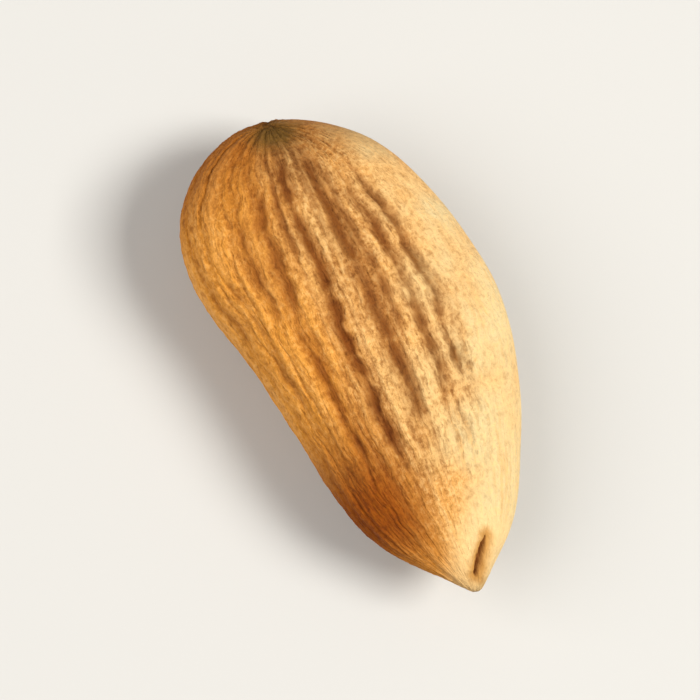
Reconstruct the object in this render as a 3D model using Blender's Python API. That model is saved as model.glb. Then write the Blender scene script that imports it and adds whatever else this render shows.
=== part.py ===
"""An almond kernel, shelled, with its brown skin on, lying on its side.

The kernel grew as one body, so it is one solid. Its length runs along X, from the broad end
at -X to the tip at +X, and its bowed margin is at +Y. It lies on a small flat spot at z = 0.
"""

import math

import bmesh
import bpy
from mathutils import Vector

# Driving dimensions, in metres.
LENGTH = 0.0240
WIDTH = 0.0127
THICKNESS = 0.0079  # of the round kernel, before it is pressed flat where it lies
FLAT_DEPTH = 0.00015  # how much the flat spot takes off the thickness
END_LIFT = 0.0004  # how much higher than the belly's middle the two ends sit

# How the kernel swells along its length, from the broad end to the tip. A station gives the
# share of the length, the edges of the straight and of the bowed margin as shares of the
# width, and half the kernel's depth there as a share of the thickness.
STATIONS = (
    (0.000, 0.063, 0.063, 0.000),
    (0.025, -0.157, 0.217, 0.185),
    (0.075, -0.287, 0.354, 0.310),
    (0.150, -0.362, 0.472, 0.410),
    (0.250, -0.390, 0.547, 0.472),
    (0.375, -0.350, 0.598, 0.500),
    (0.500, -0.307, 0.610, 0.490),
    (0.625, -0.283, 0.563, 0.448),
    (0.750, -0.256, 0.472, 0.375),
    (0.850, -0.197, 0.370, 0.285),
    (0.925, -0.091, 0.256, 0.195),
    (0.975, -0.012, 0.138, 0.110),
    (1.000, 0.031, 0.031, 0.000),
)

# The cross-section is an oval, a little squarer than an ellipse, whose thickest line lies
# off-centre, towards the straight margin.
SQUARENESS = 2.15
THICK_LINE_SHIFT = 0.13

SEGMENTS = 64
RINGS = 42

SKIN_COLOUR = (0.52, 0.27, 0.095, 1.0)
SKIN_ROUGHNESS = 0.68


def clear_scene():
    for thing in list(bpy.data.objects):
        bpy.data.objects.remove(thing)


def end_angle(share):
    """The angle round a half circle that stands over this share of the length."""
    return math.acos(1.0 - 2.0 * share)


def between_stations(angle, column):
    """One column of the stations at this angle, on a smooth curve through all of them."""
    angles = [end_angle(row[0]) for row in STATIONS]
    values = [row[column] for row in STATIONS]
    last = len(STATIONS) - 1

    def slope(i):
        before, after = max(i - 1, 0), min(i + 1, last)
        return (values[after] - values[before]) / (angles[after] - angles[before])

    i = 0
    while i < last - 1 and angle > angles[i + 1]:
        i += 1
    gap = angles[i + 1] - angles[i]
    t = min(max((angle - angles[i]) / gap, 0.0), 1.0)
    return (
        (2 * t**3 - 3 * t**2 + 1) * values[i]
        + (t**3 - 2 * t**2 + t) * gap * slope(i)
        + (3 * t**2 - 2 * t**3) * values[i + 1]
        + (t**3 - t**2) * gap * slope(i + 1)
    )


def oval(value):
    """A cosine or sine, pushed outwards to square the cross-section a little."""
    return math.copysign(abs(value) ** (2.0 / SQUARENESS), value)


def kernel_point(ball_point):
    """Where a point of the unit ball, whose poles are on Z, goes on the kernel."""
    angle = math.acos(max(-1.0, min(1.0, -ball_point.z)))
    straight = between_stations(angle, 1) * WIDTH
    bowed = between_stations(angle, 2) * WIDTH
    half_depth = between_stations(angle, 3) * THICKNESS
    around = math.atan2(ball_point.y, ball_point.x)
    across, up = oval(math.cos(around)), oval(math.sin(around))
    across -= THICK_LINE_SHIFT * (1.0 - across**2)
    middle, half_width = (bowed + straight) / 2.0, (bowed - straight) / 2.0
    lift = END_LIFT * math.cos(angle) ** 2
    return Vector(
        (
            -math.cos(angle) * LENGTH / 2.0,
            middle + across * half_width,
            lift + up * half_depth,
        )
    )


def press_flat(mesh):
    """Cuts the underside off level, closes it with one flat face and puts that face at z = 0."""
    underside = min(v.co.z for v in mesh.verts) + FLAT_DEPTH
    cut = bmesh.ops.bisect_plane(
        mesh,
        geom=mesh.verts[:] + mesh.edges[:] + mesh.faces[:],
        dist=1e-6,
        plane_co=(0.0, 0.0, underside),
        plane_no=(0.0, 0.0, 1.0),
        clear_inner=True,
    )
    rim = [g for g in cut["geom_cut"] if isinstance(g, bmesh.types.BMEdge)]
    bmesh.ops.edgeloop_fill(mesh, edges=rim)
    bmesh.ops.translate(mesh, verts=mesh.verts[:], vec=(0.0, 0.0, -underside))


def centre_over_origin(mesh):
    """Puts the middle of the kernel's outline over the origin."""
    xs = [v.co.x for v in mesh.verts]
    ys = [v.co.y for v in mesh.verts]
    middle = Vector(((min(xs) + max(xs)) / 2.0, (min(ys) + max(ys)) / 2.0, 0.0))
    bmesh.ops.translate(mesh, verts=mesh.verts[:], vec=-middle)


def skin_material():
    skin = bpy.data.materials.new("almond_skin")
    skin.use_nodes = True
    shader = skin.node_tree.nodes["Principled BSDF"]
    shader.inputs["Base Color"].default_value = SKIN_COLOUR
    shader.inputs["Roughness"].default_value = SKIN_ROUGHNESS
    shader.inputs["Metallic"].default_value = 0.0
    return skin


def build_kernel():
    """A ball of rings from the broad end to the tip, swollen to the kernel's form."""
    form = bmesh.new()
    bmesh.ops.create_uvsphere(form, u_segments=SEGMENTS, v_segments=RINGS, radius=1.0)
    for vert in form.verts:
        vert.co = kernel_point(vert.co)
    press_flat(form)
    centre_over_origin(form)
    bmesh.ops.recalc_face_normals(form, faces=form.faces[:])
    mesh = bpy.data.meshes.new("kernel")
    form.to_mesh(mesh)
    form.free()
    mesh.shade_smooth()
    mesh.set_sharp_from_angle(angle=math.radians(30.0))
    mesh.materials.append(skin_material())
    kernel = bpy.data.objects.new("kernel", mesh)
    bpy.context.scene.collection.objects.link(kernel)


clear_scene()
build_kernel()
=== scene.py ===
"""The looks of a shelled almond kernel, lying on a pale floor in soft studio light."""

import math

import bmesh
import bpy
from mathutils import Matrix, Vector


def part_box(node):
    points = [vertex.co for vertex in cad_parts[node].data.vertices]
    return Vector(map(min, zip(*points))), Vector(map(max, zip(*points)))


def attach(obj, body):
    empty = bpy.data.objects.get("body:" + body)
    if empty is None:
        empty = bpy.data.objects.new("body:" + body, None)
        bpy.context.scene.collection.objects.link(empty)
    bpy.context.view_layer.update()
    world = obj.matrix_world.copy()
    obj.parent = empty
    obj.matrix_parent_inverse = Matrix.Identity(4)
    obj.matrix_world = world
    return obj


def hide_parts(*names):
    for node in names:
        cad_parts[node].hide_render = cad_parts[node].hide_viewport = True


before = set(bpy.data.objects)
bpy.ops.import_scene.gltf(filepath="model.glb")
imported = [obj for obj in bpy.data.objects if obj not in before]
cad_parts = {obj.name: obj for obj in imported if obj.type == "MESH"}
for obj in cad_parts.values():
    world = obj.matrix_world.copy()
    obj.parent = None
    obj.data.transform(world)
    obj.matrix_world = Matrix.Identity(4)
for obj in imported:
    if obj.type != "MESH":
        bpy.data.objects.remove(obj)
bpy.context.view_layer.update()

# ------------------------------------------------------------------------------------------
# The kernel's body. It grew as one piece, a seed filled by two pressed seed leaves, with a
# blunt end where it was fed and a pointed end that holds the root. It lies on one broad face.
# ------------------------------------------------------------------------------------------
RING_COUNT = 25
SEGMENT_COUNT = 60
SKIN_FINENESS = 3  # subdivisions: mesh edges end up near 0.1 mm
LAST_CUT = 0.9995  # share of the half length: a plane at the very end would cut nothing
RING_TOLERANCE = 1e-4  # share of the half length that the points of one ring may differ by
SMALLEST_WIDTH = 1e-6  # metres: the two ends are single points, which have no width to divide by

cad_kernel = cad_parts["kernel"]
low_corner, high_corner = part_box("kernel")
half_length = (high_corner.x - low_corner.x) / 2.0


def cad_slice(cut_x):
    """Lowest and highest corner of the cut that a plane across the kernel makes at cut_x."""
    form = bmesh.new()
    form.from_mesh(cad_kernel.data)
    everything = form.verts[:] + form.edges[:] + form.faces[:]
    cut = bmesh.ops.bisect_plane(
        form, geom=everything, plane_co=(cut_x, 0.0, 0.0), plane_no=(1.0, 0.0, 0.0)
    )
    rim = [g.co.copy() for g in cut["geom_cut"] if isinstance(g, bmesh.types.BMVert)]
    form.free()
    low = Vector((cut_x, min(p.y for p in rim), min(p.z for p in rim)))
    high = Vector((cut_x, max(p.y for p in rim), max(p.z for p in rim)))
    return low, high


def select_ring(ring_x):
    """Selects the ring of points at ring_x on the mesh that is being edited."""
    mesh = bmesh.from_edit_mesh(bpy.context.object.data)
    for vert in mesh.verts:
        vert.select_set(abs(vert.co.x - ring_x) < half_length * RING_TOLERANCE)
    mesh.select_flush_mode()
    bmesh.update_edit_mesh(bpy.context.object.data)


# A ball is turned so that its poles are the kernel's two ends.
bpy.ops.object.select_all(action="DESELECT")
bpy.ops.mesh.primitive_uv_sphere_add(
    segments=SEGMENT_COUNT,
    ring_count=RING_COUNT,
    radius=half_length,
    rotation=(0.0, math.radians(90.0), 0.0),
)
kernel = bpy.context.object
kernel.name = "kernel_skin"
bpy.ops.object.transform_apply(location=False, rotation=True, scale=False)

# It is narrowed ring by ring to the kernel's outline and thickness, then fitted to it.
last_cut = half_length * LAST_CUT
ring_places = sorted({round(v.co.x, 8) for v in kernel.data.vertices})
bpy.ops.object.mode_set(mode="EDIT")
for ring_x in ring_places:
    select_ring(ring_x)
    low, high = cad_slice(max(min(ring_x, last_cut), -last_cut))
    ball_width = max(2.0 * math.sqrt(max(half_length**2 - ring_x**2, 0.0)), SMALLEST_WIDTH)
    bpy.ops.transform.resize(
        value=(1.0, (high.y - low.y) / ball_width, (high.z - low.z) / ball_width),
        center_override=(ring_x, 0.0, 0.0),
    )
    middle = (low + high) / 2.0
    bpy.ops.transform.translate(value=(0.0, middle.y, middle.z))
bpy.ops.object.mode_set(mode="OBJECT")

fitted = kernel.modifiers.new("fitted", "SHRINKWRAP")
fitted.target = cad_kernel
fitted.wrap_method = "NEAREST_SURFACEPOINT"
bpy.ops.object.modifier_apply(modifier=fitted.name)

smooth = kernel.modifiers.new("smooth", "SUBSURF")
smooth.levels = SKIN_FINENESS
smooth.render_levels = SKIN_FINENESS
bpy.ops.object.modifier_apply(modifier=smooth.name)


# ------------------------------------------------------------------------------------------
# The skin's relief. The thin brown skin shrank onto the seed as it dried. It sank along the
# veins that run from the blunt end towards the tip, and stayed smooth along the bowed margin.
# ------------------------------------------------------------------------------------------
MM = 0.001

# The veins run from the scar to the tip round a straight line between these two places.
VEINS_START = Vector((-11.6, 0.15, 5.0)) * MM
VEINS_END = Vector((11.9, -0.95, 4.15)) * MM

# Each furrow: its angle round that line (0 is the bowed margin, 90 the top), where it starts
# and ends as shares of the length, and its depth in millimetres.
FURROWS = (
    (35, 0.21, 0.64, 0.17),
    (47, 0.19, 0.66, 0.19),
    (62, 0.15, 0.52, 0.16),
    (73, 0.12, 0.68, 0.24),
    (84, 0.07, 0.28, 0.13),
    (106, 0.08, 0.72, 0.24),
    (118, 0.10, 0.32, 0.15),
    (131, 0.14, 0.40, 0.20),
    (134, 0.42, 0.70, 0.19),
    (144, 0.15, 0.42, 0.16),
    (158, 0.24, 0.56, 0.12),
    (171, 0.20, 0.42, 0.08),
    (-32, 0.30, 0.62, 0.12),
    (-44, 0.18, 0.70, 0.17),
    (-57, 0.12, 0.55, 0.14),
    (-70, 0.10, 0.72, 0.22),
    (-84, 0.15, 0.66, 0.18),
    (-97, 0.08, 0.75, 0.20),
    (-110, 0.16, 0.52, 0.16),
    (-123, 0.12, 0.70, 0.20),
    (-137, 0.20, 0.60, 0.14),
    (-152, 0.24, 0.56, 0.10),
)
FURROW_REACH = 0.88  # millimetres that its flank runs to each side
FLANK_POWER = 2.3  # 1 would make it a plain V; more makes its bottom narrower
FURROW_FADE = 0.06  # share of the length over which it starts and ends

# The raised skin beside a furrow: where it starts, is highest and ends, in millimetres from
# the furrow's middle, and its height as a share of the furrow's depth.
SHOULDER_START = 0.15
SHOULDER_TOP = 0.5
SHOULDER_REACH = 1.3
SHOULDER_HEIGHT = 0.3

# The smaller shapes' depths and heights, in millimetres. Swell and scurf go up and down, by
# at most about half of theirs.
RIB_EDGE_DEPTH = 0.08
CREASE_DEPTH = 0.04
FINE_CREASE_DEPTH = 0.02
PIT_DEPTH = 0.06
SCAR_DEPTH = 0.14
SLIT_DEPTH = 0.24
STAIN_DEPTH = 0.05
CREST_HEIGHT = 0.02
LIP_HEIGHT = 0.24
SWELL = 0.3
SCURF = 0.14
LEAST_SCURF = 0.02
DEPTH_TO_SHARE = 4.0  # the finish takes a depth of 0.25 mm as 1

# The scar is where the kernel was fed. The slit and its raised lip are beside the tip, where
# the root would come out.
SCAR_PLACE = Vector((-11.1, 0.1, 5.9)) * MM
SCAR_RADIUS = 1.9 * MM
SCAR_CORE = 0.4 * MM
SLIT_START = Vector((10.15, 0.58, 0.0)) * MM
SLIT_END = Vector((11.5, -0.62, 0.0)) * MM
SLIT_END_WIDTH = 0.08 * MM  # from its middle line to its edge, at its two ends
SLIT_BULGE = 0.42 * MM  # a quarter of this is added to that halfway along it
LIP_OFFSET = Vector((0.27, 0.32, 0.0)) * MM
LIP_END = Vector((12.0, -0.75, 0.0)) * MM
LIP_REACH = 0.42 * MM

# The pattern of ribs and creases is laid out on a tube: half its width, half its thickness
# and its length, in the pattern's own units.
PATTERN_ACROSS = 3.4
PATTERN_DEEP = 5.5
PATTERN_LONG = 24.0


def feed(slot, value):
    """Joins a socket to what feeds it, or sets it to a plain value."""
    if isinstance(value, Field):
        slot.id_data.links.new(value.socket, slot)
    else:
        slot.default_value = value


class Field:
    """A value that changes over the skin: a node's output. Arithmetic on it adds nodes."""

    def __init__(self, socket):
        self.socket = socket
        self.tree = socket.id_data

    def maths(self, operation, *values):
        """The result of one step of arithmetic on this value, with any others that it takes."""
        step = self.tree.nodes.new("ShaderNodeMath")
        step.operation = operation
        for slot, value in zip(step.inputs, (self, *values)):
            feed(slot, value)
        return Field(step.outputs[0])

    def __add__(self, other):
        return self.maths("ADD", other)

    def __sub__(self, other):
        return self.maths("SUBTRACT", other)

    def __mul__(self, other):
        return self.maths("MULTIPLY", other)

    def ramp(self, low, high):
        """0 where the value is low, 1 where it is high, and a smooth step between them."""
        step = self.tree.nodes.new("ShaderNodeMapRange")
        step.interpolation_type = "SMOOTHSTEP"
        for name, value in (("Value", self), ("From Min", low), ("From Max", high)):
            feed(step.inputs[name], value)
        return Field(step.outputs["Result"])

    def noise(self, scale, detail=2.0, roughness=0.5):
        """Noise from 0 to 1 over this vector; scale is in grains to one unit of it."""
        grain = self.tree.nodes.new("ShaderNodeTexNoise")
        feed(grain.inputs["Vector"], self)
        feed(grain.inputs["Scale"], scale)
        feed(grain.inputs["Detail"], detail)
        feed(grain.inputs["Roughness"], roughness)
        return Field(grain.outputs[0])

    def wobble(self, scale, detail=2.0, roughness=0.5):
        """The same noise about 0, half a unit at most to each side."""
        return self.noise(scale, detail, roughness) - 0.5

    def lines(self, scale, detail=2.0, roughness=0.5):
        """0 along crooked lines, where the noise crosses its middle value, and more off them."""
        return self.wobble(scale, detail, roughness).maths("ABSOLUTE")

    def scaled(self, factor):
        """This vector times a factor."""
        step = self.tree.nodes.new("ShaderNodeVectorMath")
        step.operation = "SCALE"
        feed(step.inputs[0], self)
        feed(step.inputs["Scale"], factor)
        return Field(step.outputs["Vector"])

    def distance(self, place):
        """How far this vector is from a place."""
        gap = self.tree.nodes.new("ShaderNodeVectorMath")
        gap.operation = "DISTANCE"
        feed(gap.inputs[0], self)
        feed(gap.inputs[1], place)
        return Field(gap.outputs["Value"])

    def parts(self):
        """The x, y and z of this vector."""
        split = self.tree.nodes.new("ShaderNodeSeparateXYZ")
        feed(split.inputs["Vector"], self)
        return [Field(part) for part in split.outputs]


def vector_of(x, y, z):
    """A vector from its three parts, the first of which is a Field."""
    joined = x.tree.nodes.new("ShaderNodeCombineXYZ")
    for slot, value in zip(joined.inputs, (x, y, z)):
        feed(slot, value)
    return Field(joined.outputs["Vector"])


def along_line(x, y, start, end):
    """Seen from above: how far along a straight line, 0 to 1, and how far from it a point is."""
    stretch = end - start
    reached = (x - start.x) * (stretch.x / stretch.length_squared)
    reached = reached + (y - start.y) * (stretch.y / stretch.length_squared)
    reached.socket.node.use_clamp = True
    aside_x = x - (reached * stretch.x + start.x)
    aside_y = y - (reached * stretch.y + start.y)
    return reached, (aside_x * aside_x + aside_y * aside_y).maths("SQRT")


def vein_lines(run):
    """How far a place is from a rib's edge, and how near to a crease and to a fine crease."""
    across, deep, lengthwise = run.parts()
    off_rib = vector_of(across, deep, lengthwise * 0.08).lines(0.8, 1.0)
    stretched = vector_of(across, deep, lengthwise * 0.18)
    crease = stretched.lines(1.6, 2.0, 0.6).ramp(0.10, 0.0)
    fine_crease = stretched.lines(3.3, 2.0, 0.6).ramp(0.14, 0.0)
    return off_rib, crease, fine_crease


relief = bpy.data.node_groups.new("skin_relief", "GeometryNodeTree")
relief.interface.new_socket("Geometry", in_out="INPUT", socket_type="NodeSocketGeometry")
relief.interface.new_socket("Geometry", in_out="OUTPUT", socket_type="NodeSocketGeometry")

point = Field(relief.nodes.new("GeometryNodeInputPosition").outputs["Position"])
point_mm = point.scaled(1.0 / MM)
x, y, z = point.parts()
along = x * (0.5 / half_length) + 0.5  # 0 at the blunt end, 1 at the tip

# Where a point lies among the veins: its angle round their line and its distance from it.
lean = (VEINS_END - VEINS_START) / (VEINS_END.x - VEINS_START.x)
beyond = x - VEINS_START.x
aside_y = (y - (beyond * lean.y + VEINS_START.y)) * (1.0 / MM)
aside_z = (z - (beyond * lean.z + VEINS_START.z)) * (1.0 / MM)
around = aside_z.maths("ARCTAN2", aside_y)
radius = (aside_y * aside_y + aside_z * aside_z).maths("SQRT")
vein = around + (point_mm.wobble(0.40, 1.0) * 0.17 + point_mm.wobble(1.8, 3.0, 0.7) * 0.09)

# The furrows and the raised skin beside them. Where two meet, the stronger one shows.
depth = along * 0.0
beside = along * 0.0
for angle, start, end, deep in FURROWS:
    turned = (vein - math.radians(angle)).maths("WRAP", math.pi, -math.pi).maths("ABSOLUTE")
    away_mm = turned * radius
    begun = along.ramp(start - FURROW_FADE, start + FURROW_FADE)
    length_share = begun * along.ramp(end + FURROW_FADE, end - FURROW_FADE)
    flank = (away_mm * (-1.0 / FURROW_REACH) + 1.0).maths("MAXIMUM", 0.0)
    flank = flank.maths("POWER", FLANK_POWER)
    shoulder = away_mm.ramp(SHOULDER_REACH, SHOULDER_TOP)
    shoulder = shoulder * away_mm.ramp(SHOULDER_START, SHOULDER_TOP)
    depth = depth.maths("MAXIMUM", flank * length_share * deep)
    beside = beside.maths("MAXIMUM", shoulder * length_share * deep)

# How far a point is, from 0 to 1, off the smooth places: the bowed margin, which is smoother
# in the half that ends at the tip, then the tip itself and the spot that the kernel rests on.
# The straight side is only a little calmer than the top.
toward_bow = around.maths("COSINE")  # 1 at the bowed margin, -1 at the straight side
smoother_margin = along.ramp(0.35, 0.6) * toward_bow.ramp(0.86, 0.98)
off_bow = toward_bow.ramp(1.0, 0.84) * (smoother_margin * -0.6 + 1.0)
off_tip = (along + toward_bow * 0.10).ramp(0.96, 0.72)
off_rest = z.ramp(0.02 * MM, 0.7 * MM)
off_straight = toward_bow.ramp(-0.95, -0.35) * 0.18 + 0.82
bow_share = off_bow * 0.85 + 0.15
tip_share = off_tip * 0.85 + 0.15

# Ribs, creases and pits. The furrows come and go along their length.
run_across = vein.maths("COSINE") * PATTERN_ACROSS
run_deep = vein.maths("SINE") * PATTERN_DEEP
run_along = along * PATTERN_LONG
run = vector_of(run_across, run_deep, run_along)
broken = vector_of(run_across, run_deep, run_along * 1.1).noise(0.9, 2.0).ramp(0.3, 0.62)
furrow = depth * (broken * 0.5 + 0.50)

off_rib, crease, fine_crease = vein_lines(run)
crest = off_rib.ramp(0.09, 0.2) * off_bow
near_furrow = (depth * 5.0 + 0.3).maths("MINIMUM", 1.0)
pits = point_mm.noise(2.8, 2.0, 0.6).ramp(0.44, 0.30) * near_furrow
creases = off_rib.ramp(0.085, 0.0) * RIB_EDGE_DEPTH + crease * CREASE_DEPTH
creases = creases + fine_crease * FINE_CREASE_DEPTH + pits * PIT_DEPTH
sunk = (furrow + creases * bow_share) * tip_share * (off_bow * 0.9 + 0.1) * off_straight

raised = beside * SHOULDER_HEIGHT * off_bow * off_tip * off_straight
scurf = point_mm.wobble(2.4, 3.0, 0.65) * (off_bow * SCURF + LEAST_SCURF) * off_straight
swell = point_mm.wobble(0.19, 1.0) * SWELL

# The scar at the blunt end, with a ragged edge.
scar_edge = point.distance(SCAR_PLACE) + point_mm.wobble(1.6, 3.0, 0.6) * (0.9 * MM)
scar = scar_edge.ramp(SCAR_RADIUS, SCAR_CORE)

# The slit, widest halfway, with its stain, the lip beside it and the pale skin round it.
on_top = z.ramp(3.6 * MM, 4.4 * MM)
ragged = point_mm.wobble(2.4, 3.0, 0.6) * (0.20 * MM)
down_slit, from_slit = along_line(x, y, SLIT_START, SLIT_END)
slit_edge = (down_slit * -1.0 + 1.0) * down_slit * SLIT_BULGE + SLIT_END_WIDTH
slit = (from_slit + ragged).ramp(slit_edge, 0.0) * on_top
slit_stain = (from_slit + ragged * 2.0).ramp(0.55 * MM, 0.10 * MM) * on_top
down_lip, from_lip = along_line(x, y, SLIT_START + LIP_OFFSET, LIP_END)
lip_fade = z.ramp(2.7 * MM, 3.6 * MM)
lip = (from_lip + ragged).ramp(LIP_REACH, 0.0) * lip_fade * (down_lip * 0.6 + 0.4)
pale_tip = (from_slit + ragged * 2.0).ramp(1.9 * MM, 0.4 * MM) * along.ramp(0.80, 0.92)

height = swell + scurf + crest * CREST_HEIGHT + raised - sunk - scar * SCAR_DEPTH
height = height - slit * SLIT_DEPTH - slit_stain * STAIN_DEPTH + lip * LIP_HEIGHT
normal = Field(relief.nodes.new("GeometryNodeInputNormal").outputs["Normal"])
moved = relief.nodes.new("GeometryNodeSetPosition")
feed(moved.inputs["Offset"], normal.scaled(height * off_rest * MM))

# No point ends up below the surface that the kernel lies on.
pressed = relief.nodes.new("GeometryNodeSetPosition")
moved_point = Field(relief.nodes.new("GeometryNodeInputPosition").outputs["Position"])
moved_x, moved_y, moved_z = moved_point.parts()
feed(pressed.inputs["Position"], vector_of(moved_x, moved_y, moved_z.maths("MAXIMUM", 0.0)))

# What the finish reads is kept on the mesh's points. The furrows are kept as a cube root and
# raised again there, so that their dark lines stay narrow between one point and the next.
furrow_share = furrow * off_bow * off_tip * DEPTH_TO_SHARE
last = relief.nodes.new("NodeGroupInput").outputs["Geometry"]
for name, kind, value in (
    ("furrow_root", "FLOAT", furrow_share.maths("POWER", 1.0 / 3.0)),
    ("wrinkled", "FLOAT", bow_share * tip_share),
    ("sunk", "FLOAT", sunk * DEPTH_TO_SHARE),
    ("scar", "FLOAT", scar),
    ("slit", "FLOAT", slit),
    ("slit_stain", "FLOAT", slit_stain),
    ("lip", "FLOAT", lip),
    ("pale_tip", "FLOAT", pale_tip),
    ("crest", "FLOAT", crest.maths("MAXIMUM", beside * 3.0)),
    ("bow_side", "FLOAT", toward_bow),
    ("run", "FLOAT_VECTOR", run),
):
    kept = relief.nodes.new("GeometryNodeStoreNamedAttribute")
    kept.data_type = kind
    kept.domain = "POINT"
    kept.inputs["Name"].default_value = name
    feed(kept.inputs["Value"], value)
    relief.links.new(last, kept.inputs["Geometry"])
    last = kept.outputs["Geometry"]
for step in (moved, pressed, relief.nodes.new("NodeGroupOutput")):
    relief.links.new(last, step.inputs["Geometry"])
    last = step.outputs["Geometry"] if step.outputs else None

wrinkled = kernel.modifiers.new("wrinkled", "NODES")
wrinkled.node_group = relief
bpy.ops.object.modifier_apply(modifier=wrinkled.name)
bpy.ops.object.shade_smooth()

# The skin's finish: matt, golden tan on the ridges and brown in the furrows, with paler fibres
# and dust along them; the ridges' pale tint is partly a painted highlight and the furrows' brown
# partly painted shade. The tip is pale; the bowed margin is pale, partly by a painted highlight;
# the straight side is russet with a brown patch near the tip and the blunt end is brown, these
# partly painted shade, and the blunt end has a dull green-brown scar.
TAN = (0.75, 0.43, 0.15, 1.0)
SIENNA = (0.72, 0.35, 0.09, 1.0)
# The straight side's russet, partly its own colour and partly painted shade.
RUSSET_AND_PAINTED_SHADE = (0.73, 0.29, 0.026, 1.0)
UMBER = (0.30, 0.11, 0.008, 1.0)
FURROW_SHADE = (0.36, 0.19, 0.02, 1.0)
BROWN_SHADE = (0.38, 0.21, 0.02, 1.0)
# Pale fibres and dust, and a painted highlight on the crests.
CREAM_AND_RIDGE_HIGHLIGHT = (0.86, 0.55, 0.23, 1.0)
# The bowed margin's cream, partly its own colour and partly a painted highlight.
RIM_CREAM_AND_HIGHLIGHT = (0.70, 0.59, 0.33, 1.0)
TIP_CREAM = (0.84, 0.58, 0.27, 1.0)
SCAR_OLIVE = (0.16, 0.085, 0.014, 1.0)
SLIT_STAIN = (0.50, 0.22, 0.035, 1.0)
# The slit's dark brown, partly its own colour and partly painted shade.
SLIT_BROWN_AND_SHADE = (0.18, 0.05, 0.006, 1.0)

skin = bpy.data.materials.new("almond_skin")
skin.use_nodes = True
finish = skin.node_tree
shader = finish.nodes["Principled BSDF"]


def painted(name, is_vector=False):
    """What the relief kept on the mesh under this name, as the finish reads it."""
    source = finish.nodes.new("ShaderNodeAttribute")
    source.attribute_name = name
    return Field(source.outputs["Vector" if is_vector else "Fac"])


def mixed(share, first, second, way="MIX"):
    """first where share is 0 and second where it is 1; each is a colour."""
    blend = finish.nodes.new("ShaderNodeMix")
    blend.data_type = "RGBA"
    blend.blend_type = way
    feed(blend.inputs["Factor"], share)
    feed(blend.inputs[6], first)
    feed(blend.inputs[7], second)
    return Field(blend.outputs[2])


# The grain of the skin, by size and by how it is drawn out along the veins.
skin_point = Field(finish.nodes.new("ShaderNodeTexCoord").outputs["Object"])
skin_mm = skin_point.scaled(1.0 / MM)
skin_run = painted("run", is_vector=True)
fibre_across, fibre_deep, fibre_along = skin_run.parts()
fibres = vector_of(fibre_across, fibre_deep, fibre_along * 0.12)
_, skin_crease, skin_fine_crease = vein_lines(skin_run)
hair_crease = fibres.lines(7.0, 2.0, 0.6).ramp(0.12, 0.0)
streak = fibres.noise(2.6, 3.0, 0.65)
dust = skin_mm.noise(3.4, 4.0, 0.75)
grit = vector_of(fibre_across, fibre_deep, fibre_along * 0.5).noise(4.2, 2.0, 0.6)
blotch = skin_mm.noise(0.35, 2.0, 0.5)

# Where on the kernel each colour goes.
to_tip, _, _ = skin_point.scaled(0.5 / half_length).parts()  # -0.5 at the blunt end to 0.5
bow_side = painted("bow_side")
straight_side = bow_side.ramp(0.1, -0.8)
# Where the bowed margin is pale: partly the skin's cream, partly a painted highlight on the lit
# margin.
bow_cream_and_highlight = (bow_side + blotch * 1.1 + to_tip * 0.7 - 0.55).ramp(0.36, 1.18)
# Darker near the tip on the straight side and at the blunt end: partly the skin's brown, partly
# painted shade.
brown_and_shade_by_tip = to_tip.ramp(0.04, 0.28) * to_tip.ramp(0.50, 0.32) * straight_side
browned_and_shaded = brown_and_shade_by_tip + to_tip.ramp(-0.27, -0.48) * 0.75
furrowed = painted("furrow_root").maths("POWER", 3.0)
wrinkled_here = painted("wrinkled")
creased = (skin_crease * 0.22 + skin_fine_crease * 0.16) * wrinkled_here + hair_crease * 0.05

# The straight side is less speckled, and its dark lines are fainter.
speckled = straight_side * -0.7 + 1.0
boldness = bow_side.ramp(-0.35, -0.95) * -0.22 + 1.0
umber_share = bow_cream_and_highlight * -0.40 + straight_side * -0.20 + 0.55

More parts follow.
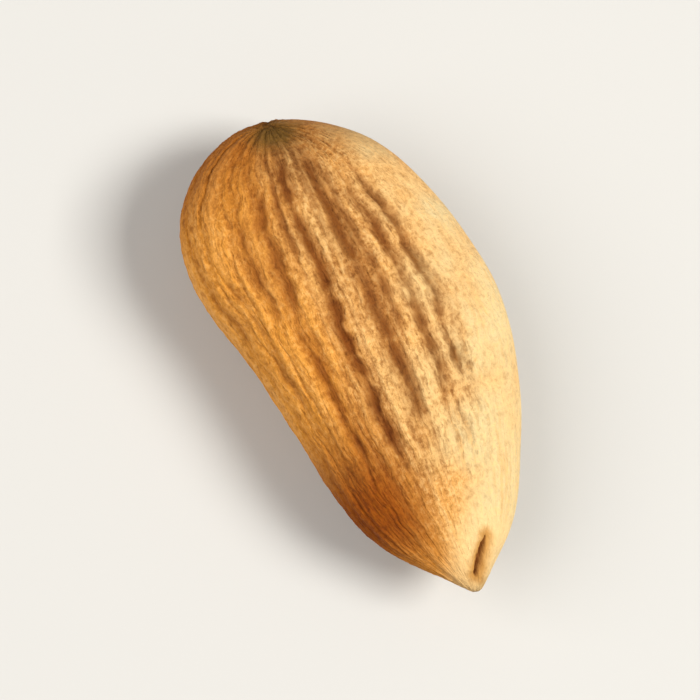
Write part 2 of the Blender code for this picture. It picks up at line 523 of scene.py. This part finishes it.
# The colours go on one over another, each by its share: first the ground, partly painted
# highlight and shade, and the pale fibres and dust, then the brown and painted shade near the
# ends and in the hollows, and last the tip, the scar and the slit.
colour = mixed(blotch.ramp(0.35, 0.7), SIENNA, TAN)
for share, coat, way in (
    # Russet on the straight side, partly painted shade.
    (straight_side * 0.8, RUSSET_AND_PAINTED_SHADE, "MIX"),
    # Cream on the bowed margin, partly a painted highlight.
    (bow_cream_and_highlight * 0.8, RIM_CREAM_AND_HIGHLIGHT, "MIX"),
    # A paler coat on the crests, partly a painted highlight; the streaks and dust are the skin's
    # own.
    (painted("crest") * 0.4 * speckled, CREAM_AND_RIDGE_HIGHLIGHT, "MIX"),
    (streak.ramp(0.5, 0.7) * 0.4 * speckled, CREAM_AND_RIDGE_HIGHLIGHT, "MIX"),
    (dust.ramp(0.5, 0.62) * 0.55 * speckled, CREAM_AND_RIDGE_HIGHLIGHT, "MIX"),
    (dust.ramp(0.50, 0.32) * umber_share, UMBER, "MIX"),
    (streak.ramp(0.52, 0.32) * bow_cream_and_highlight * 0.4, SIENNA, "MIX"),
    # Brown near the tip and at the blunt end, partly painted shade.
    (browned_and_shaded, BROWN_SHADE, "MULTIPLY"),
    # Darker in the sunk places, creases and furrows: painted shade, partly also the skin's own
    # brown.
    (painted("sunk").ramp(0.08, 0.75) * 0.6 * boldness, FURROW_SHADE, "MULTIPLY"),
    (creased * dust.ramp(0.62, 0.42) * boldness, FURROW_SHADE, "MULTIPLY"),
    (grit.ramp(0.47, 0.30) * (wrinkled_here * 0.38 + 0.05) * boldness, FURROW_SHADE, "MULTIPLY"),
    (furrowed.ramp(0.10, 0.75) * (dust + 0.3) * boldness, FURROW_SHADE, "MULTIPLY"),
    (painted("pale_tip") * 0.7, TIP_CREAM, "MIX"),
    (painted("lip") * 0.8, TIP_CREAM, "MIX"),
    (painted("scar") * 0.85, SCAR_OLIVE, "MIX"),
    (painted("slit_stain") * 0.85, SLIT_STAIN, "MIX"),
    # The slit's dark brown, partly painted shade.
    (painted("slit"), SLIT_BROWN_AND_SHADE, "MIX"),
):
    colour = mixed(share, colour, coat, way)
feed(shader.inputs["Base Color"], colour)
feed(shader.inputs["Roughness"], dust * 0.2 + 0.65)
shader.inputs["Specular IOR Level"].default_value = 0.15

# The finest grain, too small for the mesh, in millimetres of height.
bump = finish.nodes.new("ShaderNodeBump")
bump.inputs["Distance"].default_value = MM
grain_mm = dust * 0.12 + streak * 0.06 + grit * 0.11 - hair_crease * 0.008
crease_mm = (skin_crease * 0.02 + skin_fine_crease * 0.02) * wrinkled_here
feed(bump.inputs["Height"], grain_mm - crease_mm)
feed(shader.inputs["Normal"], Field(bump.outputs["Normal"]))
kernel.data.materials.append(skin)

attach(kernel, "root")
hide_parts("kernel")

# ------------------------------------------------------------------------------------------
# The floor, the lights and the camera.
# ------------------------------------------------------------------------------------------
FLOOR_SIZE = 2.0
FLOOR_GREY = (0.55, 0.55, 0.55, 1.0)
FLOOR_ROUGHNESS = 0.85

bpy.ops.mesh.primitive_plane_add(size=FLOOR_SIZE)
floor = bpy.context.object
floor.name = "floor"
pale = bpy.data.materials.new("pale_floor")
pale.use_nodes = True
pale_shader = pale.node_tree.nodes["Principled BSDF"]
pale_shader.inputs["Base Color"].default_value = FLOOR_GREY
pale_shader.inputs["Roughness"].default_value = FLOOR_ROUGHNESS
floor.data.materials.append(pale)


def away(target, azimuth, elevation, distance):
    """A point at this azimuth and elevation, in degrees, and distance from a target."""
    azimuth = math.radians(azimuth)
    elevation = math.radians(elevation)
    flat = math.cos(elevation)
    return target + distance * Vector(
        (math.sin(azimuth) * flat, -math.cos(azimuth) * flat, math.sin(elevation))
    )


def aim(thing, target):
    """Turns a light or the camera towards a target."""
    thing.rotation_euler = (target - thing.location).to_track_quat("-Z", "Y").to_euler()


# Each light: its azimuth and elevation in degrees, its distance and size in metres, its power
# in watts, and its colour. Both are aimed at the middle of the kernel.
AREA_LIGHTS = (
    ("key", 148.0, 50.0, 1.20, 0.45, 17.0, (1.0, 0.98, 0.91)),
    ("fill", -20.0, 50.0, 1.60, 1.50, 18.0, (1.0, 0.94, 0.86)),
)
kernel_middle = Vector((0.0, 0.0, high_corner.z / 2.0))
for name, azimuth, elevation, distance, size, power, tint in AREA_LIGHTS:
    light_place = away(kernel_middle, azimuth, elevation, distance)
    bpy.ops.object.light_add(type="AREA", location=light_place)
    light = bpy.context.object
    light.name = name
    light.data.size = size
    light.data.energy = power
    light.data.color = tint
    aim(light, kernel_middle)

ROOM_COLOUR = (1.0, 0.97, 0.93, 1.0)
ROOM_STRENGTH = 0.32

world = bpy.data.worlds.new("studio")
bpy.context.scene.world = world
world.use_nodes = True
room_light = world.node_tree.nodes["Background"]
room_light.inputs["Color"].default_value = ROOM_COLOUR
room_light.inputs["Strength"].default_value = ROOM_STRENGTH

# The camera looks almost straight down through a long lens, at a point beside the middle.
VIEW_AZIMUTH = 64.0
VIEW_ELEVATION = 80.0
VIEW_DISTANCE = 0.135
VIEW_TARGET = Vector((-0.45, -1.1, 3.9)) * MM
LENS = 150.0
NEAREST_SEEN = 0.001

camera_place = away(VIEW_TARGET, VIEW_AZIMUTH, VIEW_ELEVATION, VIEW_DISTANCE)
bpy.ops.object.camera_add(location=camera_place)
camera = bpy.context.object
aim(camera, VIEW_TARGET)
camera.data.lens = LENS
camera.data.clip_start = NEAREST_SEEN
bpy.context.scene.camera = camera
bpy.context.scene.view_settings.view_transform = "Standard"
